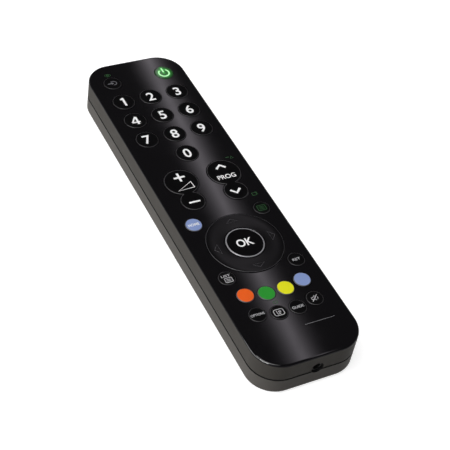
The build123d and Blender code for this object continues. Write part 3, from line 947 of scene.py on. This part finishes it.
class REMOTE_OT_navigation(bpy.types.Operator):
    """Make the navigation ring and the key in its middle"""

    bl_idname = "remote.navigation"
    bl_label = "Navigation keys"

    def execute(self, context):
        top = KEY_TOP - sizes().print_height
        self.ring(top, sizes().key_round)
        self.middle_key(top, sizes().key_round)
        return {"FINISHED"}

    def ring(self, top, round_r):
        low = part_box("key_nav_ring")[0][2]
        wall = NAV_R - 0.9 * MM
        lip_top = low + 0.5 * MM
        ring_low = PLATE_LOW - RING_DEEP
        rim = sizes().rim_width
        dish = sizes().ring_dish
        slope = [(round_r * 1.5, 1), (1.5 * MM, 0.97), (3.2 * MM, 0.8), (4.9 * MM, 0.45), (6.4 * MM, 0.12)]
        profile = [(NAV_HOLE_R, ring_low), (NAV_HOLE_R, top - dish)]
        profile += [(NAV_HOLE_R + out, top - dish * share) for out, share in slope]
        profile += [
            (NAV_R - rim - round_r * 1.2, top), (NAV_R - round_r * 1.2, top), (NAV_R, top),
            (NAV_R, lip_top), (NAV_R + NAV_LIP, lip_top), (NAV_R + NAV_LIP, low),
            (wall, low), (wall, ring_low), (NAV_HOLE_R, ring_low),
        ]
        bm = bmesh.new()
        spin_round(bm, profile, 0, NAV_Y, RING_STEPS)
        edges = ring_edges(bm, 0, NAV_Y, NAV_R, top) + ring_edges(bm, 0, NAV_Y, NAV_HOLE_R, top - dish)
        round_edges(bm, edges, round_r)
        outer = NAV_R - sizes().rim_inset
        paint_ring(bm, 0, NAV_Y, outer - rim, outer, top - round_r / 2)
        draw(bm, (0, 0, top - dish * 0.15), KEY_SIGNS["key_nav_ring"])
        tint = colours().ring
        add_piece(bm, "navigation_ring", "key_nav_ring", [
            moulded("ring_satin", tint, 0.08, grain=0.18, depth=0.0003, sway=0.01, tone=0.06, gloss=0.11),
            moulded("ring_outline", (0.045, 0.044, 0.048), 0.4),
            moulded("ring_arrows", (0.05, 0.048, 0.054), 0.5),
        ])

    def middle_key(self, top, round_r):
        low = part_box("key_ok")[0][2]
        lip = OK_R + OK_LIP
        band = OK_R - sizes().ok_line
        bm = bmesh.new()
        spin_round(bm, [
            (0, top), (band - round_r, top), (band, top), (OK_R - round_r, top), (OK_R, top),
            (OK_R, low + 0.4 * MM), (lip, low + 0.4 * MM), (lip, low), (0, low),
        ], 0, NAV_Y, 128)
        round_edges(bm, ring_edges(bm, 0, NAV_Y, OK_R, top), round_r)
        paint_ring(bm, 0, NAV_Y, band, OK_R + round_r, top - round_r / 2)
        draw(bm, (0, 0, top), KEY_SIGNS["key_ok"])
        finishes = black_key_finishes()
        finishes[1] = moulded("ok_line", (0.36, 0.36, 0.38), 0.3, metal=0.3)
        add_piece(bm, "middle_key", "key_ok", finishes)


class REMOTE_OT_ends(bpy.types.Operator):
    """Make the jack socket and the infrared window"""

    bl_idname = "remote.ends"
    bl_label = "Socket and window"

    def execute(self, context):
        # Black plastic made darker than it is, as painted shade deep in the hole for the lead.
        socket = moulded("socket_plastic_and_painted_shade", (0.012, 0.0115, 0.011), 0.38, grain=0.2, depth=0.002)
        plain_copy("jack_socket", "lead_socket", socket)
        dark = moulded("window_tint", (0.010, 0.002, 0.004), 0.12, grain=3, depth=0.002, gloss=0.2)
        plain_copy("ir_window", "signal_window", dark)
        return {"FINISHED"}


class REMOTE_OT_battery_cover(bpy.types.Operator):
    """Make the battery cover"""

    bl_idname = "remote.battery_cover"
    bl_label = "Battery cover"

    def execute(self, context):
        satin = shell_satin("cover_satin", colours().lower)
        even_out(plain_copy("battery_cover", "battery_door", satin))
        return {"FINISHED"}


def cell_place(node, way):
    """The axis and the radius of a cell, and where its flat end and its nub are along the case."""
    low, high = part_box(node)
    base, tip = (low[1], high[1]) if way > 0 else (high[1], low[1])
    return (low[0] + high[0]) / 2, (low[2] + high[2]) / 2, (high[2] - low[2]) / 2, base, tip


class REMOTE_OT_cells(bpy.types.Operator):
    """Make the two battery cells with their sleeves and bare ends"""

    bl_idname = "remote.cells"
    bl_label = "Battery cells"

    def execute(self, context):
        steel = moulded("cell_end", (0.55, 0.55, 0.56), 0.25, grain=0.3, metal=1.0)
        for node, way in CELLS:
            x, z, r, base, tip = cell_place(node, way)
            shoulder = tip - way * 0.8 * MM
            profile = [
                (0, base), (r - 0.7 * MM, base), (r, base + way * 0.5 * MM), (r, base + way * 1.6 * MM),
                (r, shoulder - way * 1.0 * MM), (r - 0.5 * MM, shoulder), (2.4 * MM, shoulder),
                (1.9 * MM, shoulder), (1.9 * MM, tip - way * 0.15 * MM), (1.75 * MM, tip), (0, tip),
            ]
            bm = bmesh.new()
            full_turn(bm, [(x + reach, y, z) for reach, y in profile], (x, 0, z), (0, 1, 0), 64)
            for face in bm.faces:
                y = face.calc_center_median().y
                on_sleeve = (y - base) * way > 0.9 * MM and (shoulder - y) * way > 0.8 * MM
                face.material_index = 1 if on_sleeve else 0
            sleeve = cell_sleeve(node + "_sleeve", (0.16, 0.17, 0.19), (0.05, 0.26, 0.14), base, tip)
            add_piece(bm, node + "_dressed", node, [steel, sleeve])
        return {"FINISHED"}


class REMOTE_OT_springs(bpy.types.Operator):
    """Wind the two tapered battery springs and finish the contact plates"""

    bl_idname = "remote.springs"
    bl_label = "Springs and contacts"

    def execute(self, context):
        bright = moulded("spring_nickel", (0.62, 0.61, 0.58), 0.22, grain=0.3, metal=1.0)
        thick = sizes().spring_wire
        turns = sizes().spring_turns
        count = int(turns * 24)
        bm = bmesh.new()
        for node, way in CELLS:
            x, z, _, base, _ = cell_place(node, way)
            seat = base - way * (SPRING_LONG - thick / 2)
            coil = []
            for n in range(count + 1):
                share = n / count
                r = SPRING_R - SPRING_TAPER * share
                a = FULL * turns * share
                y = seat + way * (SPRING_LONG - thick) * share
                coil.append((x + r * math.cos(a), y, z + r * math.sin(a)))
            add_mesh(bm, wire(coil, thick / 2, 3), 0)
        add_piece(bm, "wound_springs", "battery_springs", [bright], angle=60)
        plain_copy("battery_contacts", "contact_plates", bright)
        return {"FINISHED"}


class REMOTE_OT_screws(bpy.types.Operator):
    """Make the four case screws"""

    bl_idname = "remote.screws"
    bl_label = "Screws"

    def execute(self, context):
        steel = moulded("screw_steel", (0.34, 0.34, 0.35), 0.35, grain=0.3, depth=0.002, metal=1.0)
        plain_copy("case_screws", "recessed_screws", steel)
        return {"FINISHED"}


class REMOTE_OT_inner_parts(bpy.types.Operator):
    """Make the silicone parts and finish the circuit board and what is soldered to it"""

    bl_idname = "remote.inner_parts"
    bl_label = "Inner parts"

    def execute(self, context):
        silicone = moulded("silicone_grey", (0.13, 0.13, 0.135), 0.6, grain=0.3, depth=0.003, gloss=0.3)
        board = moulded("board_green", (0.02, 0.13, 0.05), 0.4, grain=0.4, depth=0.002, coat=0.3)
        chip = moulded("chip_black", (0.018, 0.018, 0.019), 0.6, grain=0.15, depth=0.004)
        ceramic = moulded("ceramic_brown", (0.42, 0.2, 0.05), 0.45, grain=0.2, depth=0.003)
        can = moulded("can_metal", (0.6, 0.6, 0.62), 0.3, grain=0.3, metal=1.0)
        clear = moulded("lamp_green", (0.3, 0.9, 0.35), 0.2, grain=0.5)
        tinted = moulded("lamp_violet", (0.09, 0.06, 0.16), 0.12, grain=0.5, coat=0.4)
        dressed = [
            ("keypad_sheet", "silicone_sheet", silicone), ("nav_pad", "silicone_pad", silicone),
            ("circuit_board", "board_plate", board), ("controller_chip", "main_chip", chip),
            ("memory_chip", "small_chip", chip), ("driver_transistor", "transistor", chip),
            ("resonator", "ceramic_resonator", ceramic), ("capacitor", "can_capacitor", can),
            ("power_led", "power_lamp", clear), ("ir_leds", "signal_lamps", tinted),
        ]
        for node, name, material in dressed:
            plain_copy(node, name, material)
        return {"FINISHED"}


class REMOTE_OT_stage(bpy.types.Operator):
    """Set up the pale floor, the soft lights, the strip light and the camera"""

    bl_idname = "remote.stage"
    bl_label = "Studio"

    def execute(self, context):
        self.floor()
        self.room(context)
        self.lights()
        self.camera(context)
        context.scene.view_settings.view_transform = "Standard"
        return {"FINISHED"}

    def plane(self, name, finish, segments, size, place):
        """A flat grid in the studio, and the empty node tree of its finish."""
        bm = bmesh.new()
        bmesh.ops.create_grid(bm, x_segments=segments, y_segments=segments, size=size, matrix=place)
        mesh = bpy.data.meshes.new(name)
        bm.to_mesh(mesh)
        bm.free()
        plane = bpy.data.objects.new(name, mesh)
        bpy.context.scene.collection.objects.link(plane)
        material = bpy.data.materials.new(finish)
        mesh.materials.append(material)
        return plane, empty_tree(material)

    def floor(self):
        """A pale floor a hair below the back, clear when it is looked at from below."""
        below = Matrix.Translation((0, 0, -FLOOR_DROP))
        plane, tree = self.plane("studio_floor", "pale_floor", 8, studio().floor_size, below)
        matt = add_node(tree, "BsdfDiffuse", {"Color": (0.55, 0.55, 0.55, 1)})
        rays = add_node(tree, "LightPath").outputs
        seen = maths(tree, "MAXIMUM", rays["Is Camera Ray"], rays["Is Glossy Ray"])
        seen = maths(tree, "MAXIMUM", seen, rays["Is Transmission Ray"])
        light = add_node(tree, "Emission", {"Strength": maths(tree, "MULTIPLY", seen, 0.76)})
        both = add_node(tree, "AddShader", {0: matt.outputs["BSDF"], 1: light.outputs["Emission"]})
        side = add_node(tree, "NewGeometry")
        clear = add_node(tree, "BsdfTransparent")
        open_below = add_node(tree, "MixShader", {
            "Fac": side.outputs["Backfacing"], 1: both.outputs["Shader"], 2: clear.outputs["BSDF"]})
        add_node(tree, "OutputMaterial", {"Surface": open_below.outputs["Shader"]})

    def room(self, context):
        """Pale near the floor and dark overhead, for every kind of ray."""
        world = bpy.data.worlds.new("studio_room")
        context.scene.world = world
        tree = empty_tree(world)
        place = add_node(tree, "TexCoord").outputs["Generated"]
        parts = add_node(tree, "SeparateXYZ", {"Vector": place})
        height = add_node(tree, "MapRange", interpolation_type="SMOOTHSTEP", inputs={
            "Value": parts.outputs["Z"], "From Min": 0.2, "From Max": 0.46,
            "To Min": studio().horizon, "To Max": studio().ceiling})
        glow = add_node(tree, "Background", {"Strength": height.outputs["Result"]})
        add_node(tree, "OutputWorld", {"Surface": glow.outputs["Background"]})

    def lamp(self, name, place, aim, across, deep, power):
        data = bpy.data.lights.new(name, "AREA")
        data.shape = "RECTANGLE"
        data.size = across
        data.size_y = deep
        data.energy = power
        lamp = bpy.data.objects.new(name, data)
        bpy.context.scene.collection.objects.link(lamp)
        way = Vector(aim) - Vector(place)
        turn = way.to_track_quat("-Z", "Y").to_matrix().to_4x4()
        lamp.matrix_world = Matrix.Translation(place) @ turn
        return lamp

    def lights(self):
        """Two soft lamps, one that only shows as a glint on the near left corner, and the strip."""
        self.lamp("soft_overhead", (-0.5, -0.15, 1.5), (0, 0, 0), 1.1, 1.1, studio().overhead)
        self.lamp("soft_side", (-1.5, 0.25, 0.55), (0, 0, 0.01), 1.0, 0.9, studio().side)
        glint = self.lamp("corner_glint", (-0.62, -0.35, 0.47), (-0.02, -0.09, 0.017), 0.4, 0.2, 6.5)
        glint.visible_diffuse = False
        self.strip()

    def strip(self):
        """A narrow strip of light high up beyond the far end, with soft edges."""
        near = Vector((0.3275, 0.303, 0.6174))
        far = Vector((0.3690, 0.781, 0.6174))
        half = 0.034
        middle = (near + far) / 2
        along = (far - near).length / 2 + 0.5
        turn = Matrix.Rotation(-math.atan2(far.x - near.x, far.y - near.y), 4, "Z")
        shape = Matrix.Translation(middle) @ turn @ Matrix.Diagonal((half, along, 1, 1))
        plane, tree = self.plane("strip_light", "strip_glow", 24, 1, shape)
        place = add_node(tree, "TexCoord").outputs["Object"]
        centre = add_node(tree, "Mapping", vector_type="TEXTURE", inputs={
            "Vector": place, "Location": middle, "Rotation": turn.to_euler(),
            "Scale": (half, along, 1)})
        parts = add_node(tree, "SeparateXYZ", {"Vector": centre.outputs["Vector"]})
        away = maths(tree, "ABSOLUTE", parts.outputs["X"])
        fade = maths(tree, "POWER", maths(tree, "SUBTRACT", 1.0, away, clamp=True), 2.6)
        light = add_node(tree, "Emission", {
            "Color": (0.98, 0.91, 1.0, 1), "Strength": maths(tree, "MULTIPLY", fade, studio().streak)})
        clear = add_node(tree, "BsdfTransparent")
        both = add_node(tree, "AddShader", {0: light.outputs["Emission"], 1: clear.outputs["BSDF"]})
        add_node(tree, "OutputMaterial", {"Surface": both.outputs["Shader"]})
        plane.visible_camera = False

    def camera(self, context):
        """The camera of the photograph, as it was fitted to the keys and the outline."""
        data = bpy.data.cameras.new("photo_camera")
        data.sensor_width = 36
        data.lens = studio().lens
        data.clip_start = 0.01
        data.clip_end = 50
        right = Vector((0.89023, -0.43557, 0.13326))
        up = Vector((0.22781, 0.67910, 0.69780))
        back = Vector((-0.39444, -0.59085, 0.70378))
        turn = Matrix((right, up, back)).transposed().to_4x4()
        camera = bpy.data.objects.new("photo_camera", data)
        camera.matrix_world = Matrix.Translation((-0.20393, -0.31952, 0.37496)) @ turn
        context.scene.collection.objects.link(camera)
        context.scene.camera = camera


STEPS = [
    REMOTE_OT_stage, REMOTE_OT_shells, REMOTE_OT_face_plate, REMOTE_OT_number_keys,
    REMOTE_OT_coloured_keys, REMOTE_OT_function_keys, REMOTE_OT_power_key, REMOTE_OT_rockers,
    REMOTE_OT_navigation, REMOTE_OT_ends, REMOTE_OT_battery_cover, REMOTE_OT_cells,
    REMOTE_OT_springs, REMOTE_OT_screws, REMOTE_OT_inner_parts,
]
GROUPS = {"remote_sizes": RemoteSizes, "remote_colours": RemoteColours, "remote_studio": RemoteStudio}


class REMOTE_PT_panel(bpy.types.Panel):
    """Sizes, colours and making steps of the remote control"""

    bl_idname = "REMOTE_PT_panel"
    bl_label = "Remote control"
    bl_space_type = "VIEW_3D"
    bl_region_type = "UI"
    bl_category = "Remote"

    def draw(self, context):
        layout = self.layout
        for step in STEPS:
            layout.operator(step.bl_idname)
        for group in (sizes(), colours(), studio()):
            box = layout.box()
            for name in group.__annotations__:
                box.prop(group, name)


CLASSES = [*GROUPS.values(), *STEPS, REMOTE_PT_panel]


def register():
    for kind in CLASSES:
        bpy.utils.register_class(kind)
    for name, group in GROUPS.items():
        setattr(bpy.types.Scene, name, bpy.props.PointerProperty(type=group))


def unregister():
    for name in GROUPS:
        delattr(bpy.types.Scene, name)
    for kind in reversed(CLASSES):
        bpy.utils.unregister_class(kind)


def main():
    register()
    bpy.ops.remote.stage()
    bpy.ops.remote.shells()
    bpy.ops.remote.face_plate()
    bpy.ops.remote.number_keys()
    bpy.ops.remote.coloured_keys()
    bpy.ops.remote.function_keys()
    bpy.ops.remote.power_key()
    bpy.ops.remote.rockers()
    bpy.ops.remote.navigation()
    bpy.ops.remote.ends()
    bpy.ops.remote.battery_cover()
    bpy.ops.remote.cells()
    bpy.ops.remote.springs()
    bpy.ops.remote.screws()
    bpy.ops.remote.inner_parts()


if __name__ == "__main__":
    main()
